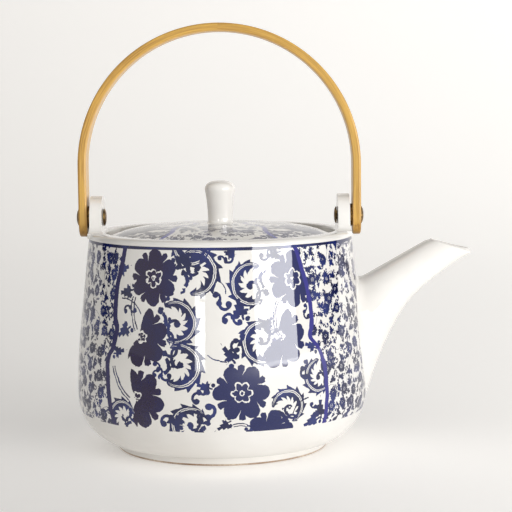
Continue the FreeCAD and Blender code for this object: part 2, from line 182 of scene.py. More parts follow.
def twin(piece):
    """The right-hand piece again at the left: a copy with its own mesh, mirrored in x."""
    copy = piece.copy()
    copy.data = piece.data.copy()
    bpy.context.scene.collection.objects.link(copy)
    copy.data.transform(Matrix.Scale(-1, 4, (1, 0, 0)))
    copy.data.flip_normals()
    copy.name = copy.data.name = piece.name.replace("right", "left")
    return copy


# ---- Pot body ----------------------------------------------------------------------------------
def model_pot_body():
    """Profile out over the foot ring, up the wall, over the lip and the lid's seat, and down inside."""
    foot_in_r, foot_out_r, foot_top_r, seat_r, mouth_r, floor_r = 0.9, 1.0, 1.3, 0.8, 0.7, 8.0
    in_r, lean_deg = CORNER_R - WALL, math.degrees(lean)
    out_x, out_z, out_turn = tuck(CORNER_R, TUCK_R, FOOT_H)
    in_x, in_z, in_turn = tuck(in_r, floor_r, FLOOR_Z)
    shoulder_z, mouth_x = RIM_Z - SHOULDER_R, MOUTH_R + mouth_r
    profile = [(POLE, FOOT_RECESS), (30, FOOT_RECESS)]
    profile += arc(FOOT_IN - foot_in_r, FOOT_RECESS - foot_in_r, foot_in_r, 90, 0, 4)
    profile += arc(FOOT_IN + foot_in_r, foot_in_r, foot_in_r, 180, 270, 4)
    profile += arc(FOOT_OUT - foot_out_r, foot_out_r, foot_out_r, -90, 0, 5)
    profile += arc(FOOT_OUT + foot_top_r, FOOT_H - foot_top_r, foot_top_r, 180, 90, 5)
    profile += arc(out_x, out_z, TUCK_R, -90, out_turn, 6)
    profile += arc(corner_cx, BELLY_Z, CORNER_R, out_turn, 0, 22)[1:]
    profile += arc(wall_cx, BELLY_Z, WALL_ARC_R, 0, lean_deg, 10)[1:]
    profile += [(wall_r(z), z) for z in (70, 80, 90, 98)]
    profile += arc(wall_r(shoulder_z) - SHOULDER_R, shoulder_z, SHOULDER_R, 0, 90, 8)
    profile += arc(RECESS_R + LIP_R, RIM_Z - LIP_R, LIP_R, 90, 180, 5)
    profile += arc(RECESS_R - seat_r, SEAT_Z + seat_r, seat_r, 0, -90, 4)
    profile += arc(mouth_x, SEAT_Z - mouth_r, mouth_r, 90, 180, 4)
    profile += arc(mouth_x, LEDGE_Z + mouth_r, mouth_r, 180, 225, 3)
    profile += [(wall_r(z) - WALL, z) for z in (LEDGE_Z - 7, 78)]
    profile += arc(wall_cx, BELLY_Z, WALL_ARC_R - WALL, lean_deg, 0, 8)
    profile += arc(corner_cx, BELLY_Z, in_r, 0, in_turn, 16)[1:]
    profile += arc(in_x, in_z, floor_r, in_turn, -90, 8)[1:] + [(25, FLOOR_Z), (POLE, FLOOR_Z)]
    body = turned("pot_body_porcelain", profile, ROUND_STEPS)
    # Straining holes pierced through the wall behind the spout, every other row half a step over
    for row in range(-3, 4):
        for column in range(-2, 3):
            y = (column + row % 2 / 2) * STRAIN_PITCH
            z = row * STRAIN_PITCH * math.sin(math.radians(60))
            if (y / STRAIN_OVAL[0]) ** 2 + (z / STRAIN_OVAL[1]) ** 2 <= 1:
                drill(body, STRAIN_R, 16, (68, y, STRAIN_Z + z), steps=20)
    return body


# ---- Spout -------------------------------------------------------------------------------------
def slant(start, end):
    """From one (x, z) to another, as a vector in the spout's middle plane."""
    return Vector((end[0] - start[0], 0, end[1] - start[1]))


mouth_along = slant(SPOUT_HIGH, SPOUT_TIP).normalized()
mouth_out = Vector((-mouth_along.z, 0, mouth_along.x))


def under_edge(t):
    """The spout's lower outline, a curve that ends a little past the tip."""
    begin, tip = Vector((wall_r(20) - 1.5, 0, 20)), Vector((SPOUT_TIP[0], 0, SPOUT_TIP[1]))
    knee = begin + Vector((0.38 * (tip.x - begin.x), 0, 0.71 * (tip.z - begin.z)))
    end = tip + 6.0 * Vector((math.cos(math.radians(35)), 0, math.sin(math.radians(35))))
    return begin * (1 - t) ** 3 + knee * (3 * t * (1 - t)) + end * t ** 3


def spout_point(t, turn, inset):
    """A point of the spout's skin: t from inside the wall to past the mouth, turn round its oval."""
    high, root = Vector((SPOUT_HIGH[0], 0, SPOUT_HIGH[1])), Vector((wall_r(82.9), 0, 82.9))
    along = (high - root).normalized()
    top, low = (root - along * 14).lerp(high + along * 16.45, t ** 1.3), under_edge(t)
    half_width = (14.5 + 21.5 * max(0.0, 1 - t) ** 1.5) / 2
    across = (top - low) / 2
    half = across.length - inset
    return ((top + low) / 2 + across.normalized() * half * math.cos(turn)
            + Vector((0, half_width - inset, 0)) * math.sin(turn))


def past_wall(p):
    """Above 0 outside the bowl's wall."""
    return math.hypot(p.x, p.y) - wall_r(p.z)


def past_mouth(p):
    """Above 0 outside the plane of the slanting mouth."""
    return slant(SPOUT_HIGH, (p.x, p.z)).dot(mouth_out)


def crossing(turn, inset, side):
    """Where along the spout its skin passes a surface: the first t at which side(point) is above 0."""
    low, high = 0.0, 1.0
    for _ in range(40):
        middle = (low + high) / 2
        low, high = (low, middle) if side(spout_point(middle, turn, inset)) > 0 else (middle, high)
    return high


def skinned(name, rings):
    """A closed skin through rings of points in mm: one ring extruded on, each then put in its place."""
    around = len(rings[0])
    piece = start(bpy.ops.mesh.primitive_circle_add, vertices=around, radius=1.0)
    for _ in rings[1:]:
        extrude(0, 1 / MM)
    bpy.ops.object.mode_set(mode="OBJECT")
    for vertex in piece.data.vertices:
        turn = round(math.atan2(vertex.co.y, vertex.co.x) / (2 * math.pi) * around) % around
        vertex.co = rings[round(vertex.co.z)][turn] * MM
    edit(piece)
    bpy.ops.mesh.select_non_manifold(extend=False)
    bpy.ops.mesh.bridge_edge_loops()
    return close(piece, name)


def model_spout():
    """Rings from the fillet on the wall, up the outside, over the lip and back down the inside."""
    turns = [2 * math.pi * i / 64 for i in range(64)]
    outer, inner = ([(crossing(a, inset, past_wall), crossing(a, inset, past_mouth)) for a in turns]
                    for inset in (0, SPOUT_WALL))

    def ring(ends, inset, share):
        """The ring at a share of the way from the wall to the mouth."""
        return [spout_point(t0 + (t1 - t0) * share, a, inset) for (t0, t1), a in zip(ends, turns)]

    rings, on_wall = [], ring(outer, 0, 0)
    middle = sum(on_wall, Vector()) / len(turns)
    # The fillet of slip: in along the wall, rising from it, then up the tube
    for share, lift in ((1.0, -0.5), (0.98, 0.0), (0.66, 0.12), (0.42, 0.42)):
        spread = [p + Vector((0, *(p - middle).yz)).normalized() * FILLET * share for p in on_wall]
        rings.append([Vector((math.sqrt((wall_r(p.z) + lift) ** 2 - p.y ** 2), p.y, p.z))
                      for p in spread])
    for share, swell in ((0.035, 1.1), (0.075, 0.4), (0.12, 0.1)):
        rings.append([p + (p - q).normalized() * swell
                      for p, q in zip(ring(outer, 0, share), ring(outer, 1.0, share))])
    rings += [ring(outer, 0, share) for share in (0.17, 0.23, 0.3, 0.37, 0.44, 0.51, 0.58, 0.65, 0.72,
                                                  0.79, 0.85, 0.9, 0.94)]
    lip = [math.radians(turn) for turn in (0, 22, 45, 68, 90)]
    for skin, side, angles in ((0, 1, lip), (SPOUT_WALL, -1, lip[::-1])):
        for a in angles:
            inset, back = skin + side * SPOUT_LIP * (1 - math.cos(a)), SPOUT_LIP * (1 - math.sin(a))
            rings.append([p - mouth_out * back for p in ring(outer, inset, 1)])
    rings += [ring(inner, SPOUT_WALL, share) for share in (0.93, 0.85, 0.75, 0.65, 0.55, 0.45, 0.35,
                                                           0.25, 0.15, 0.07, 0)]
    rings.append([p - Vector((0.6, 0, 0)) for p in rings[-1]])
    return skinned("spout_porcelain", rings)


# ---- Lugs --------------------------------------------------------------------------------------
def model_lug():
    """An ear that widens straight down from its round top, then flares where it is luted on."""
    x, round_z, base_z, half_base = (LUG_IN + LUG_OUT) / 2, LUG_TOP_Z - LUG_TOP_R, RIM_Z - 2.4, 12.5
    flare_z, flare_h, flare_w = RIM_Z + 3.4, 3.5, 3.0
    reach = math.hypot(half_base, round_z - base_z)
    touch = math.acos(LUG_TOP_R / reach) - math.atan2(round_z - base_z, half_base)
    touch_y, touch_z = LUG_TOP_R * math.cos(touch), round_z + LUG_TOP_R * math.sin(touch)
    flare_y = touch_y + (half_base - touch_y) * (touch_z - flare_z) / (touch_z - base_z)
    lug = start(bpy.ops.mesh.primitive_cylinder_add, vertices=96, radius=LUG_TOP_R * MM,
                depth=(LUG_OUT - LUG_IN) * MM, location=(x * MM, 0, round_z * MM),
                rotation=(0, math.pi / 2, 0))
    bpy.ops.mesh.bisect(plane_co=(0, 0, touch_z * MM), plane_no=(0, 0, 1), clear_inner=True)
    choose(lug, lambda p: p.z < touch_z + 0.01)
    # Each station: place across the wall, half width, height, and half thickness
    stations = [(x, touch_y, touch_z, 3.0), (x, flare_y, flare_z, 3.0)]
    for turn in (15, 30, 45, 60, 75, 88):
        out, down = 1 - math.cos(math.radians(turn)), math.sin(math.radians(turn))
        stations.append((x - 0.3 * out, flare_y + 0.4 * down + flare_w * out,
                         flare_z - flare_h * down, 3.0 + out))
    for (x0, y0, z0, thick0), (x1, y1, z1, thick1) in zip(stations, stations[1:]):
        extrude(x1 - x0, z1 - z0)
        bpy.ops.transform.resize(value=(thick1 / thick0, y1 / y0, 1),
                                 center_override=(x1 * MM, 0, z1 * MM))
    extrude(0, -2.5)
    bpy.ops.mesh.edge_face_add()
    close(lug, "lug_right_porcelain")
    round_edges(lug, 2.7, 8)
    drill(lug, LUG_BORE_R, 12, (x, 0, PIVOT_Z))
    edit(lug)
    return close(lug, "lug_right_porcelain", merge=0.0005)


# ---- Lid and knob ------------------------------------------------------------------------------
def model_lid():
    """A low dome on a flat rim, with a locating ring below and an air hole."""
    def dome(top, until, steps):
        radii = [until * i / steps for i in range(steps, 0, -1)] + [POLE]
        return [(x, top - LID_RISE * (x / LID_R) ** LID_FLATNESS) for x in radii]

    ring_out, ring_in, ring_z, ring_r, edge_r = MOUTH_R - 0.9, MOUTH_R - 4.1, LID_Z - 9.0, 1.2, 1.0
    upper = dome(CROWN_Z, LID_R - edge_r, 26)
    profile = list(reversed(dome(CROWN_Z - LID_T, ring_in, 16)))
    profile += arc(ring_in + ring_r, ring_z + ring_r, ring_r, 180, 270, 5)
    profile += arc(ring_out - ring_r, ring_z + ring_r, ring_r, -90, 0, 5)
    profile += [(ring_out, LID_Z - 0.5), (ring_out + 0.5, LID_Z)]
    profile += arc(LID_R - 0.5, LID_Z + 0.5, 0.5, -90, 0, 3)
    profile += arc(LID_R - edge_r, upper[0][1] - edge_r, edge_r, 0, 90, 5) + upper[1:]
    lid = turned("lid_porcelain", profile, ROUND_STEPS)
    drill(lid, 1.6, 12, (0, 19, CROWN_Z), steps=32, tilt=0)
    return lid


def model_knob():
    """Widens upwards from a small fillet of slip on the lid to a softly rounded top."""
    base_r, top_r, high, cap, fillet_r, fillet_h = 6.1, 7.6, 21.3, 4.3, 1.3, 1.4
    side = high - cap - fillet_h
    profile = [(POLE, -1.2), (base_r + fillet_r, -1.2)]
    profile += [(base_r + fillet_r * (1 - math.sin(a)), fillet_h * (1 - math.cos(a)))
                for a in map(math.radians, (0, 25, 50, 75, 90))]
    profile += [(base_r + (top_r - base_r) * (0.12 * t + 0.88 * t * t), fillet_h + side * t)
                for t in (i / 12 for i in range(1, 13))]
    profile += [(max(POLE, top_r * math.cos(a) ** 0.8), high - cap + cap * math.sin(a) ** 0.9)
                for a in (math.radians(7.5 * i) for i in range(1, 13))]
    return turned("lid_knob_porcelain", profile, 64, z=CROWN_Z)


# ---- Handle and its rivets ---------------------------------------------------------------------
def model_handle():
    """One strip: a rectangle extruded up, round the arch in small turns and down; then its edges."""
    middle = Vector((-(HANDLE_IN + HANDLE_OUT) / 2, 0, HANDLE_LOW)) * MM
    strip = start(bpy.ops.mesh.primitive_plane_add, size=1.0, location=middle)
    bpy.ops.transform.resize(value=((HANDLE_OUT - HANDLE_IN) * MM, HANDLE_W * MM, 1),
                             center_override=middle)
    bpy.ops.mesh.delete(type="ONLY_FACE")
    bpy.ops.mesh.select_all(action="SELECT")
    levels, around = [HANDLE_LOW, 118, 124, 130, 136, ARCH_Z], 72
    for low, high in zip(levels, levels[1:]):
        extrude(0, high - low)
    for _ in range(around):
        extrude(0, 0)
        bpy.ops.transform.rotate(value=-math.pi / around, orient_axis="Y",
                                 center_override=(0, 0, ARCH_Z * MM))
    for high, low in zip(levels[::-1], levels[-2::-1]):
        extrude(0, low - high)
    for side in (-1, 1):
        choose(strip, lambda p, side=side: p.z < HANDLE_LOW + 0.01 and p.x * side > 0)
        bpy.ops.mesh.edge_face_add()
    # The ends are half round
    choose(strip, lambda p, q: max(p.z, q.z) < HANDLE_LOW + 0.01 and abs(p.y - q.y) < 0.01, "EDGE")
    bpy.ops.mesh.bevel(offset=7.7 * MM, offset_type="OFFSET", segments=14)
    close(strip, "bamboo_strip")
    round_edges(strip, 0.9, 4)
    drill(strip, HANDLE_BORE_R, 160, (0, 0, PIVOT_Z))
    edit(strip)
    return close(strip, "bamboo_strip", sharp=30, merge=0.0005)


def model_rivet():
    """Hand-closed rivet: a low domed head with a worn flat and a thin rolled edge, on its shank."""
    end = LUG_IN - PLAY - 0.62 - HANDLE_OUT
    profile = [(POLE, end), (SHANK_R - 0.2, end), (SHANK_R, end + 0.2), (SHANK_R, 0.0)]
    profile += [(4.4, 0.0), (4.46, 0.18), (4.36, 0.42), (4.05, 0.72), (3.5, 1.03), (2.8, 1.28),
                (1.9, 1.48), (1.0, 1.57), (POLE, 1.6)]
    return turned("rivet_right_brass", profile, 48, axis=0, x=HANDLE_OUT, z=PIVOT_Z, sharp=50)


def model_cap():
    """The wider inner head, with a socket that the shank is pressed into."""
    profile = [(POLE, -0.63), (SHANK_R, -0.63), (SHANK_R, 0.0), (4.2, 0.0), (4.3, -0.12),
               (4.22, -0.35), (3.8, -0.7), (3.1, -0.98), (2.2, -1.16), (1.2, -1.24), (POLE, -1.25)]
    return turned("rivet_cap_right_brass", profile, 48, axis=0, x=LUG_IN - PLAY, z=PIVOT_Z, sharp=50)


def model_washer():
    """Flat spacer between lug and bamboo, its outer edges broken."""
    low, bore_r, rim_r, edge = LUG_OUT + PLAY, SHANK_R + 0.02, 5.6, 0.15
    thick = HANDLE_IN - low
    profile = [(bore_r, 0.0), (rim_r - edge, 0.0), (rim_r, edge), (rim_r, thick - edge),
               (rim_r - edge, thick), (bore_r, thick), (bore_r, 0.0)]
    return turned("washer_right_brass", profile, 48, axis=0, x=low, z=PIVOT_Z, sharp=50)


# ---- Finishes ----------------------------------------------------------------------------------
BLEND = {"data_type": "RGBA", "out": 2}       # a Mix node's settings for colours
FAR = 900.0                                   # mm, off any motif


def linear(colour):
    """An sRGB hex colour as the linear one that the shaders work in."""
    parts = [int(colour[i:i + 2], 16) / 255 for i in (1, 3, 5)]
    return [c / 12.92 if c <= 0.04045 else ((c + 0.055) / 1.055) ** 2.4 for c in parts] + [1.0]


def add(tree, kind, *inputs, out=0, **settings):
    """Adds a node with its settings, fills or links its inputs in order or by name, and gives its
    output. A hex colour is made linear."""
    made = tree.nodes.new(kind if "Node" in kind else "ShaderNode" + kind)
    named = {plug.identifier: plug for plug in made.inputs}
    for word, value in settings.items():
        if word not in named:
            setattr(made, word, value)
    filled = [(named[word], value) for word, value in settings.items() if word in named]
    for plug, value in [*zip(made.inputs, inputs), *filled]:
        if isinstance(value, bpy.types.NodeSocket):
            tree.links.new(value, plug)
        elif value is not None:
            plug.default_value = linear(value) if isinstance(value, str) else value
    return made.outputs[out] if len(made.outputs) else made


def run(tree, value, *steps, kind="Math"):
    """Runs a value through nodes one after the other, each step an operation and its other inputs."""
    for operation, *others in steps:
        value = add(tree, kind, value, *others, operation=operation)
    return value


def finish(name, build, *settings):
    """A new material: build gives its shader from the spot on the piece, in metres."""
    material = bpy.data.materials.new(name)
    material.use_nodes = True
    tree = material.node_tree
    tree.nodes.clear()
    add(tree, "OutputMaterial", build(tree, add(tree, "TexCoord", out="Object"), *settings))
    return material


# ---- The transfer print: motifs in their own small frames ------------------------------------------
def motif(name, draw, *settings):
    """A node group around a drawing: it takes a place in the motif's own frame, where 1 is the motif's
    main radius, and its settings, and gives 1 where there is ink."""
    tree = bpy.data.node_groups.new(name, "ShaderNodeTree")
    tree.interface.new_socket("Place", in_out="INPUT", socket_type="NodeSocketVector")
    for word in settings:
        tree.interface.new_socket(word, in_out="INPUT", socket_type="NodeSocketFloat")
    tree.interface.new_socket("Ink", in_out="OUTPUT", socket_type="NodeSocketFloat")
    plugs = add(tree, "NodeGroupInput").node.outputs[:len(settings) + 1]
    add(tree, "NodeGroupOutput", draw(tree, *plugs))
    return tree


def in_mm(tree, place):
    """A spot's x, y and z in mm."""
    scaled = run(tree, place, ("SCALE", None, None, 1 / MM), kind="VectorMath")
    return add(tree, "SeparateXYZ", scaled).node.outputs


def polar(tree, place):
    """Distance from the middle, and angle from the right, anticlockwise."""
    x, y, _ = add(tree, "SeparateXYZ", place).node.outputs
    return (add(tree, "VectorMath", place, operation="LENGTH", out="Value"),
            run(tree, y, ("ARCTAN2", x)))


def either(tree, *inks):
    """Ink where any of them has it."""
    return run(tree, inks[0], *(("MAXIMUM", ink) for ink in inks[1:]))


def between(tree, value, low, high):
    """1 where the value lies between low and high."""
    over = run(tree, value, ("GREATER_THAN", low))
    return run(tree, value, ("LESS_THAN", high), ("MULTIPLY", over))


def disc(tree, place, x, y, r):
    """A ball of ink."""
    gap = add(tree, "VectorMath", place, (x, y, 0), operation="DISTANCE", out="Value")
    return run(tree, gap, ("LESS_THAN", r))


def bow(tree, place, x, y, r, half_width, start_deg, end_deg):
    """A line along part of a circle, its ends in degrees anticlockwise."""
    away, a = polar(tree, add(tree, "VectorMath", place, (x, y, 0), operation="SUBTRACT"))
    middle, half = math.radians((start_deg + end_deg) / 2), math.radians((end_deg - start_deg) / 2)
    near = run(tree, away, ("COMPARE", r, half_width))
    return run(tree, a, ("SUBTRACT", middle), ("WRAP", math.pi, -math.pi),
               ("COMPARE", 0.0, half), ("MULTIPLY", near))


def scroll_leaf(tree, place):
    """Thorned crescent with a white double midrib, and curls and balls in its opening."""
    r, a = polar(tree, place)
    swell = run(tree, a, ("ADD", 0.15), ("DIVIDE", 2.15), ("POWER", 2.0), ("SUBTRACT", 1.0),
                ("MULTIPLY", -1.0), ("MAXIMUM", 0.0), ("SQRT",))
    outside = run(tree, a, ("MULTIPLY", 2.0), ("FRACT",), ("POWER", 2.0),
                  ("MULTIPLY_ADD", 0.24, 0.21), ("MULTIPLY_ADD", swell, 1.0))
    inside = run(tree, a, ("MULTIPLY", -1.8), ("FRACT",), ("POWER", 1.5),
                 ("MULTIPLY_ADD", 0.30, 0.27), ("MULTIPLY", swell), ("MULTIPLY_ADD", -1.0, 1.0))
    rib = run(tree, r, ("SUBTRACT", 1.03), ("ABSOLUTE",))
    rib = between(tree, rib, 0.02, run(tree, swell, ("MULTIPLY", 0.07)))
    body = run(tree, between(tree, r, inside, outside), ("SUBTRACT", rib))
    return either(
        tree, body,
        bow(tree, place, -0.10, -0.22, 0.33, 0.085, 40, 200), disc(tree, place, 0.10, -0.10, 0.19),
        bow(tree, place, -0.62, -0.66, 0.34, 0.075, -30, 130), disc(tree, place, -0.86, -0.42, 0.19),
        bow(tree, place, -0.02, -0.5, 0.5, 0.07, 120, 250), disc(tree, place, -0.30, 0.22, 0.13),
        bow(tree, place, -0.98, 0.26, 0.50, 0.10, -60, 45), disc(tree, place, -0.74, 0.78, 0.20))


def peony(tree, place, lean_in, turn_in, rosette):
    """Full or leaning head: six round petals, toothed leaflets between them, and a white rosette."""
    r, a = polar(tree, place)
    # A leaning head opens to one side and is cut in behind its rosette
    press = run(tree, a, ("ABSOLUTE",), ("SUBTRACT", 1.75), ("MULTIPLY", 1.8), ("MAXIMUM", 0.0),
                ("MINIMUM", 1.0), ("MULTIPLY", lean_in), ("MULTIPLY_ADD", -1.0, 1.0))
    spread, sector = run(tree, r, ("DIVIDE", press)), math.pi / 6

    def folded(shift):
        """All petals laid on one: along it and across it."""
        turn = run(tree, a, ("ADD", turn_in), ("ADD", shift), ("WRAP", sector, -sector))
        return [run(tree, turn, (way,), ("MULTIPLY", spread)) for way in ("COSINE", "SINE")]

    along, across = folded(0.0)
    up = run(tree, along, ("SUBTRACT", 0.60), ("DIVIDE", 0.36), ("POWER", 2.0))
    petal = run(tree, across, ("DIVIDE", 0.30), ("POWER", 2.0), ("ADD", up), ("LESS_THAN", 1.0))
    leaf_along, leaf_across = folded(sector)
    side = run(tree, leaf_across, ("ABSOLUTE",))
    tooth = run(tree, side, ("MULTIPLY", 9.0), ("FRACT",), ("MULTIPLY", 0.13))
    leaflet = run(tree, side, ("MULTIPLY_ADD", 1.6, leaf_along), ("SUBTRACT", tooth),
                  ("LESS_THAN", 0.94))
    heart = run(tree, spread, ("LESS_THAN", 0.74))
    slit_half = run(tree, spread, ("SUBTRACT", 0.58), ("MAXIMUM", 0.0), ("MULTIPLY", 0.10))
    slit = run(tree, across, ("COMPARE", 0.265, slit_half))
    # White rosette line with six lobes, and a ring round its middle
    lobes = run(tree, a, ("ADD", turn_in), ("MULTIPLY", 3.0), ("COSINE",), ("ABSOLUTE",),
                ("MULTIPLY_ADD", 0.3, 0.68), ("MULTIPLY", rosette))
    line = run(tree, r, ("COMPARE", lobes, 0.028))
    ring_r = run(tree, rosette, ("MULTIPLY", 0.22))
    ring = run(tree, r, ("COMPARE", ring_r, 0.018))
    return run(tree, either(tree, petal, leaflet, heart), ("SUBTRACT", slit),
               ("SUBTRACT", either(tree, line, ring)), ("MAXIMUM", 0.0))


def tendril(tree, place):
    """A long bow that tightens into a ball, and a short one the other way."""
    return either(tree, bow(tree, place, 0, 0, 1.0, 0.26, -10, 190), disc(tree, place, -0.70, -0.12, 0.58),
                  bow(tree, place, 1.9, 0, 0.95, 0.22, 175, 300), disc(tree, place, 2.0, -0.58, 0.50),
                  disc(tree, place, 0.95, 0.40, 0.52))


def bud(tree, place):
    """A pointed leaf with two side thorns and a ball."""
    x, y, _ = add(tree, "SeparateXYZ", place).node.outputs
    tooth = run(tree, x, ("MULTIPLY", 1.9), ("FRACT",), ("MULTIPLY_ADD", 0.28, 0.42))
    taper = run(tree, x, ("MULTIPLY_ADD", -0.42, tooth))
    behind = run(tree, x, ("GREATER_THAN", -0.55))
    body = run(tree, y, ("ABSOLUTE",), ("LESS_THAN", taper), ("MULTIPLY", behind))
    return either(tree, body, disc(tree, place, -0.55, 0.42, 0.36),
                  bow(tree, place, -0.75, -0.75, 0.62, 0.11, -10, 120),
                  disc(tree, place, -0.98, -0.62, 0.27))


def thin_stem(tree, place, half_turn, gap, line):
    """One line, or two a gap each side of it, along part of a circle of radius 1."""
    r, a = polar(tree, place)
    near = run(tree, r, ("SUBTRACT", 1.0), ("ABSOLUTE",), ("COMPARE", gap, line))
    return run(tree, a, ("COMPARE", 0.0, half_turn), ("MULTIPLY", near))


LEAF = motif("thorned_scroll_leaf", scroll_leaf)
FLOWER = motif("peony_head", peony, "Lean", "Turn", "Rosette")
CURL = motif("ball_tendril", tendril)
BUD = motif("thorned_bud", bud)
STEM = motif("thin_stem", thin_stem, "Half", "Gap", "Line")

# The bowl's panel, unrolled. For each motif: mm to the right of the panel's middle, mm above the
# table, turn in degrees, radius in mm (minus where it is mirrored), and the motif's own settings
PANEL_FLOWERS = {FLOWER: [
    (-33.1, 91.4, 90, 14, 0, 0, 0.36), (38.9, 90.1, 90, 14, 0, 0, 0.36),
    (10.6, 38.7, 60, 14, 0, 0, 0.37), (-38.6, 63.6, -24, 15, 0.86, 0.3, 0.2),
    (-40.2, 34.6, 5, 15, 0.86, 0.25, 0.21), (29.6, 63.2, -32, 15, 0.86, 0.3, 0.2),
    (24, 17.5, 95, 13, 0.3, 0.3, 0.2)]}
PANEL_SPRAYS = {
    LEAF: [
        (-20.8, 71, 12, 9), (-18.9, 51.2, -14, -9.4), (-11, 94.2, 8, -9.6), (16.6, 88.6, 176, -9),
        (21, 61.5, 186, 8.8), (32.6, 30.6, 62, 7.4), (-13, 22.6, 172, 8.6), (50.6, 43.8, 200, -7.2),
        (-49.5, 24.5, 150, 7.6), (-13.5, 107, -92, 8.5)],
    CURL: [
        (5.6, 101, 200, 2.2), (3.3, 80, 155, 2.8), (5, 72.4, 5, 2.6), (-9.7, 36.7, 60, 2.6),
        (-5, 30.5, 250, 3), (23.8, 101.5, 15, -2.2), (8.6, 60.5, 75, 2.5), (-24.5, 24.9, 20, 2.9),
        (47.6, 27, 100, -2), (-26.6, 83, 300, 2), (46, 73, 120, 2), (-48, 75.5, 20, 2.1),
        (42.6, 45.8, 100, 2.5), (-25.2, 46.5, 160, 2.3), (-30.5, 50.5, 280, 2)],
    BUD: [
        (-6.5, 41.5, 160, 3.6), (2.5, 23.6, 210, 3.4), (16.5, 22.6, 340, 3.6), (-49, 84, 190, 4.2),
        (-49.5, 66, 215, -4.4), (-52.5, 55.8, 10, 3.6), (51, 27.2, 88, 4.4), (46.5, 22.6, 205, -4.4),
        (5.5, 56.3, 130, -4.4), (-17.4, 99.8, 330, 4.4), (48, 79.5, 170, 3.4), (47, 58, 160, -3.6),
        (-52.8, 94.5, 20, 4), (29, 101.8, 190, 3.6), (6.4, 104, 90, -3.6), (10.4, 77, 100, 4.8),
        (-19, 26, 70, 3.6), (24, 70.5, 40, 3.2)],
    STEM: [
        (-25.5, 77.5, 190, 19.6, 0.42, 0.04, 0.018), (-35, 52, 215, 20.5, 0.45, 0.036, 0.017),
        (-16, 61.9, 178, 14, 0.28, 0, 0.02), (27, 76, 268, 9, 0.9, 0.045, 0.03),
        (44.5, 72, 180, 17, 0.5, 0.036, 0.02), (9.5, 14, 90, 10, 0.35, 0.06, 0.025),
        (-52.5, 66.5, 60, 15, 0.5, 0, 0.02), (44, 25, 130, 9, 0.7, 0, 0.035),
        (3.6, 66, 250, 13, 0.4, 0, 0.02), (-4, 84, 30, 8, 0.5, 0, 0.03)]}
# The lid's right half, mirrored to its left: mm to the right of the knob and behind it
LID_SPRAYS = {
    FLOWER: [(40, -14, 200, 12, 0, 0.2, 0.32), (36, 22, 150, 12, 0, 0.2, 0.32)],
    LEAF: [(26, -24, 240, 9.5), (24, 2, 20, 8.5), (26, 38, 80, -8.5), (48, 6, 180, -7),
           (33, -41, 300, -7.5)],
    CURL: [(45, 34, 40, 2.8), (17, -12, 150, 2.6), (36, -30, 20, 2.6), (33, 6, 200, 2.6)],
    BUD: [(24, -40, 250, 5), (48, -30, 300, 4.8), (20, 18, 60, 4.6)],
    STEM: [(18, 0, 0, 30, 0.6, 0.02, 0.010), (12, 0, -40, 40, 0.25, 0.02, 0.009)]}
# The panel's wavy borders: height above the table, mm to the right of the panel's middle
LEFT_BORDER = [(20, -55.6), (29, -57.7), (36, -58.9), (45, -60.0), (53, -59.4), (57, -56.9), (62, -55.4),
               (66, -54.6), (72, -56.4), (80, -56.8), (87, -56.2), (96, -53.8), (106, -52.4)]
RIGHT_BORDER = [(20, 54.4), (27, 55.2), (35, 55.8), (42, 55.5), (51, 54.0), (57.5, 50.8), (62.5, 46.8),
                (67, 48.3), (74, 48.7), (84, 47.6), (94, 45.0), (106, 41.0)]


def printed(tree, motifs, spot):
    """Ink of all the motifs at a spot on the unrolled surface in mm. A spot that has its ink is moved
    far off, so that the motifs are worked out one after the other."""
    ink = 0.0
    for drawing, u, v, turn, size, *settings in [(m, *row) for m, rows in motifs.items() for row in rows]:
        place = add(tree, "Mapping", spot, (u, v, 0), (0, 0, math.radians(turn)), (abs(size), size, 1),
                    vector_type="TEXTURE")
        found = add(tree, "Group", place, *settings, node_tree=drawing)
        ink = run(tree, ink, ("MAXIMUM", found))
        spot = add(tree, "VectorMath", found, (FAR, FAR, 0), spot, operation="MULTIPLY_ADD")
    return ink


def curve(tree, height, points):
    """A wavy border: its place in mm sideways at each height, through a curve node."""
    (low, _), (high, _), reach = points[0], points[-1], 72.0
    shape = add(tree, "FloatCurve", 1.0, add(tree, "MapRange", height, low, high, 0.0, 1.0))
    line = shape.node.mapping.curves[0]
    places = [((z - low) / (high - low), u / reach / 2 + 0.5) for z, u in points]
    line.points[0].location, line.points[1].location = places[0], places[-1]
    for place in places[1:-1]:
        line.points.new(*place)
    shape.node.mapping.update()
    return run(tree, shape, ("SUBTRACT", 0.5), ("MULTIPLY", 2 * reach))


def sprigs(tree, spot, cell, size, seed, share, drawing, *settings):
    """Small scattered print: one small motif, turned any way, in each cell, and some cells empty."""
    moved = add(tree, "VectorMath", spot, (seed * 7.3, seed * 3.1, 0), operation="ADD")
    cells = add(tree, "TexVoronoi", moved, voronoi_dimensions="2D", Scale=1 / cell,
                Randomness=0.8).node.outputs
    dice = add(tree, "SeparateColor", cells["Color"]).node.outputs
    own = run(tree, dice[0], ("MULTIPLY", 6.283))
    place = add(tree, "VectorMath", moved, cells["Position"], operation="SUBTRACT")
    place = add(tree, "VectorRotate", place, rotation_type="Z_AXIS", Angle=own)
    place = add(tree, "VectorMath", place, operation="SCALE", Scale=1 / size)
    found = add(tree, "Group", place, *settings, node_tree=drawing)
    return run(tree, dice[1], ("LESS_THAN", share), ("MULTIPLY", found))


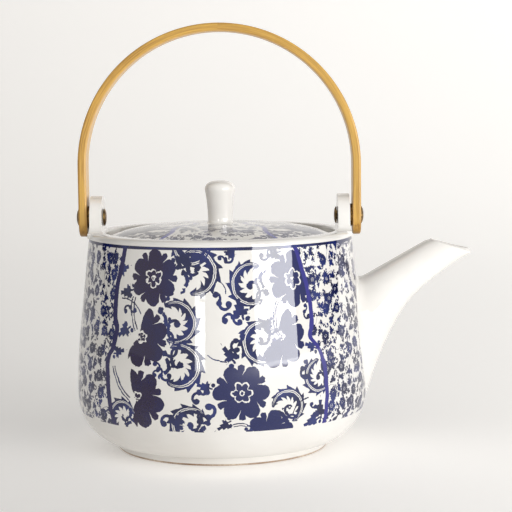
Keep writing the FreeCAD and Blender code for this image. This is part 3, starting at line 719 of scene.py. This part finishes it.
def scatter(tree, spot):
    """The close ground of little flowers, buds and curls outside the panel, with a wandering thread."""
    meander = add(tree, "TexNoise", spot, None, 0.11, 0.0, noise_dimensions="2D")
    ink = run(tree, meander, ("COMPARE", 0.5, 0.007))
    # Cell and motif radius in mm, the layer's own shift, share of cells filled, motif and its settings
    for layer in [(9.0, 3.0, 1, 0.8, FLOWER, 0.0, 0.4, 0.3), (6.6, 2.2, 2, 0.8, BUD),
                  (5.6, 1.05, 3, 0.85, CURL), (4.4, 1.35, 4, 0.6, BUD)]:
        found = sprigs(tree, spot, *layer)
        ink = run(tree, ink, ("MAXIMUM", found))
        spot = add(tree, "VectorMath", found, (FAR, FAR, 0), spot, operation="MULTIPLY_ADD")
    return ink


def wavering(tree, spot, reach, size):
    """Print that isn't quite sharp or straight: moved by up to reach mm, over waves of size mm."""
    wave = add(tree, "TexNoise", spot, None, 1 / size, 1.0, noise_dimensions="2D", out="Color")
    return run(tree, wave, ("SUBTRACT", (0.5, 0.5, 0.5)), ("MULTIPLY_ADD", [2 * reach] * 3, spot),
               kind="VectorMath")


def glaze(tree, place, colour):
    """Clear gloss glaze over the body: wet shine, with the slight swell of a dipped glaze in waves of
    22 mm and 4 mm."""
    swell = add(tree, "TexNoise", place, None, 45.0, 2.0)
    fine = add(tree, "TexNoise", place, None, 240.0, 1.0)
    height = run(tree, fine, ("MULTIPLY_ADD", 0.12, swell))
    bump = add(tree, "Bump", 0.35, 0.0003, Height=height)
    return add(tree, "BsdfPrincipled", colour, Roughness=0.38, IOR=1.5, Normal=bump,
               **{"Coat Weight": 1.0, "Coat Roughness": 0.035, "Coat IOR": 1.62,
                  "Specular IOR Level": 0.0, "Coat Normal": bump})


def body_white(tree, place, low="#D8D5D0", high="#E1DFDB"):
    """Warm white of fired porcelain, with the faint clouding of its glaze in patches of 45 mm."""
    cloud = add(tree, "TexNoise", place, None, 22.0, 3.0)
    return add(tree, "Mix", add(tree, "MapRange", cloud, 0.35, 0.65, 0.0, 1.0), **BLEND,
               A_Color=low, B_Color=high)


def cobalt(tree, spot, flowers, sideways):
    """Cobalt blue ink: navy, purpler in the flowers to the left, thin and thick in patches of 12 mm as
    the tissue left it, with a grain of 0.6 mm."""
    patch = add(tree, "TexNoise", spot, None, 0.08, 2.0, noise_dimensions="2D")
    thick = run(tree, patch, ("SUBTRACT", 0.38), ("MULTIPLY", 3.0))
    deep = add(tree, "Mix", thick, **BLEND, A_Color="#10163F", B_Color="#1F2B66")
    left = run(tree, sideways, ("MULTIPLY", -0.04), ("SUBTRACT", 0.5), ("MULTIPLY", 2.0),
               ("MULTIPLY", patch))
    bloom = add(tree, "Mix", left, **BLEND, A_Color="#121A4E", B_Color="#1B0A35")
    both = add(tree, "Mix", flowers, **BLEND, A_Color=deep, B_Color=bloom)
    grain = add(tree, "TexNoise", spot, None, 1.6, 2.0, noise_dimensions="2D")
    thin = run(tree, grain, ("SUBTRACT", 0.5), ("MULTIPLY", 0.5))
    return add(tree, "Mix", thin, **BLEND, A_Color=both, B_Color="#3A4486")


def bowl_print(tree, place):
    """Transfer-printed glazed porcelain: a flowered panel between violet borders on each side of the
    pot, close small flowers between the panels, and a dark band under the rim, all under the glaze."""
    x, y, z = in_mm(tree, place)
    back = run(tree, y, ("MULTIPLY", -1.0))
    # The same panel is laid on the front and on the back, and the tissue's ends meet under the lugs
    u = run(tree, x, ("ARCTAN2", back), ("WRAP", math.pi / 2, -math.pi / 2), ("MULTIPLY", 72.0))
    flat = add(tree, "CombineXYZ", u, z, 0.0)
    spot = wavering(tree, wavering(tree, flat, 0.5, 9.0), 0.16, 1.4)
    sideways, height, _ = add(tree, "SeparateXYZ", spot).node.outputs
    flowers, sprays = printed(tree, PANEL_FLOWERS, spot), printed(tree, PANEL_SPRAYS, spot)
    from_left = run(tree, sideways, ("SUBTRACT", curve(tree, height, LEFT_BORDER)))
    edge = run(tree, curve(tree, height, RIGHT_BORDER), ("SUBTRACT", sideways),
               ("MINIMUM", from_left))
    in_panel = run(tree, edge, ("GREATER_THAN", 0.0))
    beside = run(tree, 1.0, ("SUBTRACT", in_panel))
    half_border = run(tree, sideways, ("MULTIPLY_ADD", -0.003, 1.42))
    border = run(tree, edge, ("COMPARE", 0.0, half_border))
    band = run(tree, sideways, ("MULTIPLY", 0.09), ("SINE",), ("MULTIPLY_ADD", 0.15, z),
               ("GREATER_THAN", BAND_LOW))
    inside = run(tree, either(tree, flowers, sprays), ("MULTIPLY", in_panel))
    outside = run(tree, scatter(tree, spot), ("MULTIPLY", beside))
    kept = between(tree, z, PRINT_LOW, PRINT_HIGH)
    ink = run(tree, either(tree, inside, outside, band, border), ("MULTIPLY", kept))
    below_band = run(tree, 1.0, ("SUBTRACT", band))
    violet = add(tree, "Mix", add(tree, "MapRange", u, -40.0, 40.0, 0.0, 1.0), **BLEND,
                 A_Color="#17124F", B_Color="#2A287A")
    inks = add(tree, "Mix", run(tree, border, ("MULTIPLY", kept), ("MULTIPLY", below_band)),
               **BLEND, A_Color=cobalt(tree, flat, flowers, sideways), B_Color=violet)
    return glaze(tree, place, add(tree, "Mix", ink, **BLEND, A_Color=body_white(tree, place), B_Color=inks))


def lid_print(tree, place):
    """The same print on the lid, laid in sectors: close small flowers before and behind the knob,
    scrolls and rings of lines to the left and right."""
    x, y, z = in_mm(tree, place)
    flat = add(tree, "CombineXYZ", x, y, 0.0)
    spot = wavering(tree, flat, 0.25, 2.0)
    r = add(tree, "VectorMath", spot, operation="LENGTH", out="Value")
    sideways, behind, _ = add(tree, "SeparateXYZ", spot).node.outputs
    side = run(tree, sideways, ("ABSOLUTE",))
    # A violet border runs out from near the knob to the edge on each side of the small flowers
    sway = run(tree, behind, ("MULTIPLY", 0.22), ("SINE",), ("MULTIPLY_ADD", 1.6, 12.0))
    edge = run(tree, behind, ("ABSOLUTE",), ("MULTIPLY_ADD", 0.36, sway), ("SUBTRACT", side))
    border = run(tree, edge, ("COMPARE", 0.0, 1.2))
    in_ground = run(tree, edge, ("GREATER_THAN", 0.0))
    beside = run(tree, edge, ("LESS_THAN", 0.0))
    close_spot = add(tree, "VectorMath", spot, (0.85, 0.7, 1.0), operation="MULTIPLY")
    ground = run(tree, scatter(tree, close_spot), ("MULTIPLY", in_ground))
    sprays = printed(tree, LID_SPRAYS, add(tree, "CombineXYZ", side, behind, 0.0))
    sprays = run(tree, sprays, ("MULTIPLY", beside))
    top = run(tree, z, ("GREATER_THAN", LID_Z + 1.0))
    ink = run(tree, either(tree, ground, sprays, border), ("MULTIPLY", between(tree, r, 9.0, 54.2)),
              ("MULTIPLY", top))
    inks = add(tree, "Mix", border, **BLEND, A_Color=cobalt(tree, flat, sprays, sideways),
               B_Color="#2E2B92")
    return glaze(tree, place, add(tree, "Mix", ink, **BLEND, A_Color=body_white(tree, place), B_Color=inks))


def plain_porcelain(tree, place, *whites):
    """The same porcelain without print, for the rim, foot and inside, and for the luted pieces, whose
    whites are painted lighter as painted light.
    """
    return glaze(tree, place, body_white(tree, place, *whites))


def bare_foot(tree, place):
    """Unglazed biscuit where the foot stands: dry, with 0.7 mm grit, browned by the kiln shelf."""
    grit = add(tree, "TexNoise", place, None, 1400.0, 2.0)
    stain = add(tree, "TexNoise", place, None, 40.0, 3.0)
    brown = run(tree, grit, ("MULTIPLY_ADD", 0.35, stain))
    tint = add(tree, "Mix", add(tree, "MapRange", brown, 0.5, 0.85, 0.0, 1.0), **BLEND,
               A_Color="#8A6E55", B_Color="#CDBFAE")
    bump = add(tree, "Bump", 0.5, 0.0002, Height=grit)
    return add(tree, "BsdfPrincipled", tint, Roughness=0.85, Normal=bump)


def lacquered_bamboo(tree, place):
    """Steam-bent bamboo under amber lacquer: long dark vessels, pale pith on the inner face, satin."""
    x, y, z = in_mm(tree, place)
    # Along the strip: height on the legs, turn times radius round the arch; across it: depth and width
    above = run(tree, z, ("SUBTRACT", ARCH_Z), ("MAXIMUM", 0.0))
    depth = add(tree, "VectorMath", add(tree, "CombineXYZ", x, 0.0, above), operation="LENGTH", out="Value")
    out = run(tree, x, ("ABSOLUTE",))
    arch = run(tree, above, ("ARCTAN2", out), ("MULTIPLY", (HANDLE_IN + HANDLE_OUT) / 2))
    # Vessels run 33 times as long as they are wide, and differ from one leg to the other
    along = run(tree, z, ("MINIMUM", ARCH_Z), ("ADD", arch), ("MULTIPLY", 0.03))
    strip = add(tree, "CombineXYZ", depth, y, run(tree, x, ("SIGN",), ("MULTIPLY_ADD", 40.0, along)))
    # Vessels lie 0.5 mm apart in real strips; drawn 0.6 mm apart so that they show
    vessels = add(tree, "TexNoise", strip, None, 1.6, 3.0, 0.6)
    broad = add(tree, "TexNoise", strip, None, 0.35, 2.0)
    honey = add(tree, "Mix", add(tree, "MapRange", vessels, 0.36, 0.62, 0.0, 1.0), **BLEND,
                A_Color="#966A22", B_Color="#C89A3F")
    amber = add(tree, "Mix", run(tree, broad, ("SUBTRACT", 0.4), ("MULTIPLY", 2.2)), **BLEND,
                A_Color=honey, B_Color="#D0A64C")
    # Pale pith on the inner face, and painted shade that darkens the strip towards its lower ends, beside
    # the lugs
    pith = add(tree, "MapRange", depth, HANDLE_IN + 0.9, HANDLE_IN + 0.1, 0.0, 0.75)
    pale = add(tree, "Mix", pith, **BLEND, A_Color=amber, B_Color="#E2B670")
    # Painted shade: darker brown over the lowest 9 mm of each leg
    end = add(tree, "MapRange", z, HANDLE_LOW + 9.0, HANDLE_LOW, 0.0, 0.55)
    tint = add(tree, "Mix", end, **BLEND, A_Color=pale, B_Color="#8C5E22")
    bump = add(tree, "Bump", 0.35, 0.0004, Height=vessels)
    return add(tree, "BsdfPrincipled", tint, Roughness=0.42, IOR=1.5, Normal=bump,
               **{"Coat Weight": 0.3, "Coat Roughness": 0.22})


def antiqued_brass(tree, place):
    """Antiqued brass: dark brown patina and dull gold in 1.4 mm mottles, over the 2 mm dents of the hammer."""
    mottle = add(tree, "TexNoise", place, None, 700.0, 3.0, 0.6)
    dents = add(tree, "TexVoronoi", place, Scale=520.0)
    tint = add(tree, "Mix", add(tree, "MapRange", mottle, 0.4, 0.68, 0.0, 1.0), **BLEND,
               A_Color="#5A4630", B_Color="#A98A55")
    rough = add(tree, "MapRange", mottle, 0.3, 0.7, 0.55, 0.3)
    bump = add(tree, "Bump", 0.4, 0.0003, Height=dents)
    return add(tree, "BsdfPrincipled", tint, Metallic=1.0, Roughness=rough, Normal=bump)


# ---- Pieces, in their finishes and on their bodies ------------------------------------------------
printed_bowl = finish("transfer_printed_glazed_porcelain", bowl_print)
printed_lid = finish("transfer_printed_glazed_porcelain_lid", lid_print)
bare = finish("unglazed_porcelain_foot", bare_foot)
white = finish("clear_glazed_white_porcelain", plain_porcelain)
# The spout, lugs and knob: the same porcelain with its whites painted lighter, painted light for the sky
# light that they catch
painted_lighter_white = finish("clear_glazed_cast_porcelain", plain_porcelain, "#E3E0DB", "#EBE9E5")
bamboo, brass = finish("amber_lacquered_bamboo", lacquered_bamboo), finish("antiqued_brass", antiqued_brass)
pot, lug, lid = model_pot_body(), model_lug(), model_lid()
rivet, cap, washer = model_rivet(), model_cap(), model_washer()
made = [
    (pot, [white, printed_bowl, bare], "pot", "pot_body", "decorated_porcelain"),
    (model_spout(), [painted_lighter_white], "pot", "spout", "white_porcelain"),
    (lug, [painted_lighter_white], "pot", "lug_right", "white_porcelain"),
    (twin(lug), [painted_lighter_white], "pot", "lug_left", "white_porcelain"),
    (lid, [white, printed_lid], "lid_and_knob", "lid", "decorated_porcelain"),
    (model_knob(), [painted_lighter_white], "lid_and_knob", "lid_knob", "white_porcelain"),
    (model_handle(), [bamboo], "handle", "bamboo_handle", "bamboo"),
]
for right, node in ((rivet, "rivet"), (cap, "rivet_cap"), (washer, "washer")):
    made += [(right, [brass], "handle", node + "_right", "dark_brass"),
             (twin(right), [brass], "handle", node + "_left", "dark_brass")]
for piece, finishes, body, node, slot in made:
    piece.data.materials.clear()
    for coat in finishes:
        piece.data.materials.append(coat)
    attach(piece, body)
    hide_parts(node)

# The print covers the wall's outside from the lower corner to the shoulder, and the lid's dome; the
# foot is wiped bare of glaze where it stands
WALL_FROM, WALL_TO, WIPED_TO, SKIN = 12.0, 106.4, 0.85, 1.5
for face in pot.data.polygons:
    x, y, z = face.center / MM
    if WALL_FROM < z < WALL_TO and math.hypot(x, y) > wall_r(z) - SKIN:
        face.material_index = 1
    elif z < WIPED_TO:
        face.material_index = 2
for face in lid.data.polygons:
    face.material_index = int(face.normal.z > 0.05 and face.center.z / MM > LID_Z + 1.0)


# ---- Floor, light and camera ---------------------------------------------------------------------
def paper_sweep(tree, place):
    """Plain white paper with 11 mm clouding, and a painted glow that rises where it goes up behind, so that
    no horizon shows.
    """
    x, y, _ = add(tree, "SeparateXYZ", place).node.outputs
    # Painted glow: the paper's own emission, less near the pot and more far behind it
    near_glow, far_glow = 0.27, 0.34
    behind = add(tree, "MapRange", y, 0.2, 2.2, near_glow, far_glow)
    # Painted glow, brighter to the right, by the same share near the pot and far behind it
    depth = run(tree, y, ("ADD", 0.79), ("MAXIMUM", 0.3))
    painted_glow = run(tree, x, ("DIVIDE", depth), ("MULTIPLY_ADD", 1.6, 1.0), ("MAXIMUM", 0.4),
               ("MULTIPLY", behind))
    tint = add(tree, "Mix", add(tree, "TexNoise", place, None, 90.0, 2.0), **BLEND,
               A_Color="#ECE9E6", B_Color="#EFEDEA")
    return add(tree, "BsdfPrincipled", tint, Roughness=0.85,
               **{"Emission Color": "#FAF9F7", "Emission Strength": painted_glow})


FLOOR_SIZE = 6.0
floor = start(bpy.ops.mesh.primitive_plane_add, size=FLOOR_SIZE)
choose(floor, lambda p, q: min(p.y, q.y) > FLOOR_SIZE / MM / 2 - 1, "EDGE")
extrude(0, FLOOR_SIZE / MM / 2)
close(floor, "studio_sweep")
apply(floor, "BEVEL", width=2.0, segments=24, limit_method="ANGLE")
bpy.ops.object.shade_smooth()
floor.data.materials.append(finish("pale_paper_sweep_painted_glow", paper_sweep))

# Soft light from above and behind, and a dim room in front, which the glaze mirrors
world = bpy.data.worlds.new("studio_air")
bpy.context.scene.world = world
world.use_nodes = True
air = world.node_tree
air.nodes.clear()
_, aim_y, aim_z = add(air, "SeparateXYZ", add(air, "TexCoord", out="Generated")).node.outputs
high = add(air, "MapRange", aim_z, 0.14, 0.5, 0.12, 1.05)
back = add(air, "MapRange", aim_y, -0.15, 0.35, 0.0, 1.0)
add(air, "OutputWorld", add(air, "Background", "#FFFEFC", add(air, "Mix", back, high, 0.7)))


def softbox(name, azimuth, elevation, distance, width, height, power):
    """A soft rectangular light that faces the pot; azimuth 0 is the camera's side, positive to +X."""
    a, e = math.radians(azimuth), math.radians(elevation)
    away = Vector((math.sin(a) * math.cos(e), -math.cos(a) * math.cos(e), math.sin(e)))
    light = bpy.data.lights.new(name, "AREA")
    light.shape, light.size, light.size_y, light.energy = "RECTANGLE", width, height, power
    lamp = bpy.data.objects.new(name, light)
    lamp.location = Vector((0, 0, 0.08)) + away * distance
    lamp.rotation_mode = "QUATERNION"
    lamp.rotation_quaternion = (-away).to_track_quat("-Z", "Y")
    bpy.context.scene.collection.objects.link(lamp)


softbox("window_softbox", 45, 6, 1.6, 0.98, 0.55, 16)
softbox("strip_softbox", -15.5, 1.1, 1.6, 0.22, 0.24, 1.2)

camera = bpy.data.objects.new("camera", bpy.data.cameras.new("camera"))
camera.data.lens, camera.data.sensor_width = 110.658, 36
camera.matrix_world = (Matrix.Translation((0.017746, -0.78783, 0.17180))
                       @ Matrix.Rotation(math.radians(90 - 5.559), 4, "X")
                       @ Matrix.Rotation(math.radians(-0.601), 4, "Z"))
bpy.context.scene.collection.objects.link(camera)
bpy.context.scene.camera = camera
bpy.context.scene.view_settings.view_transform = "Standard"
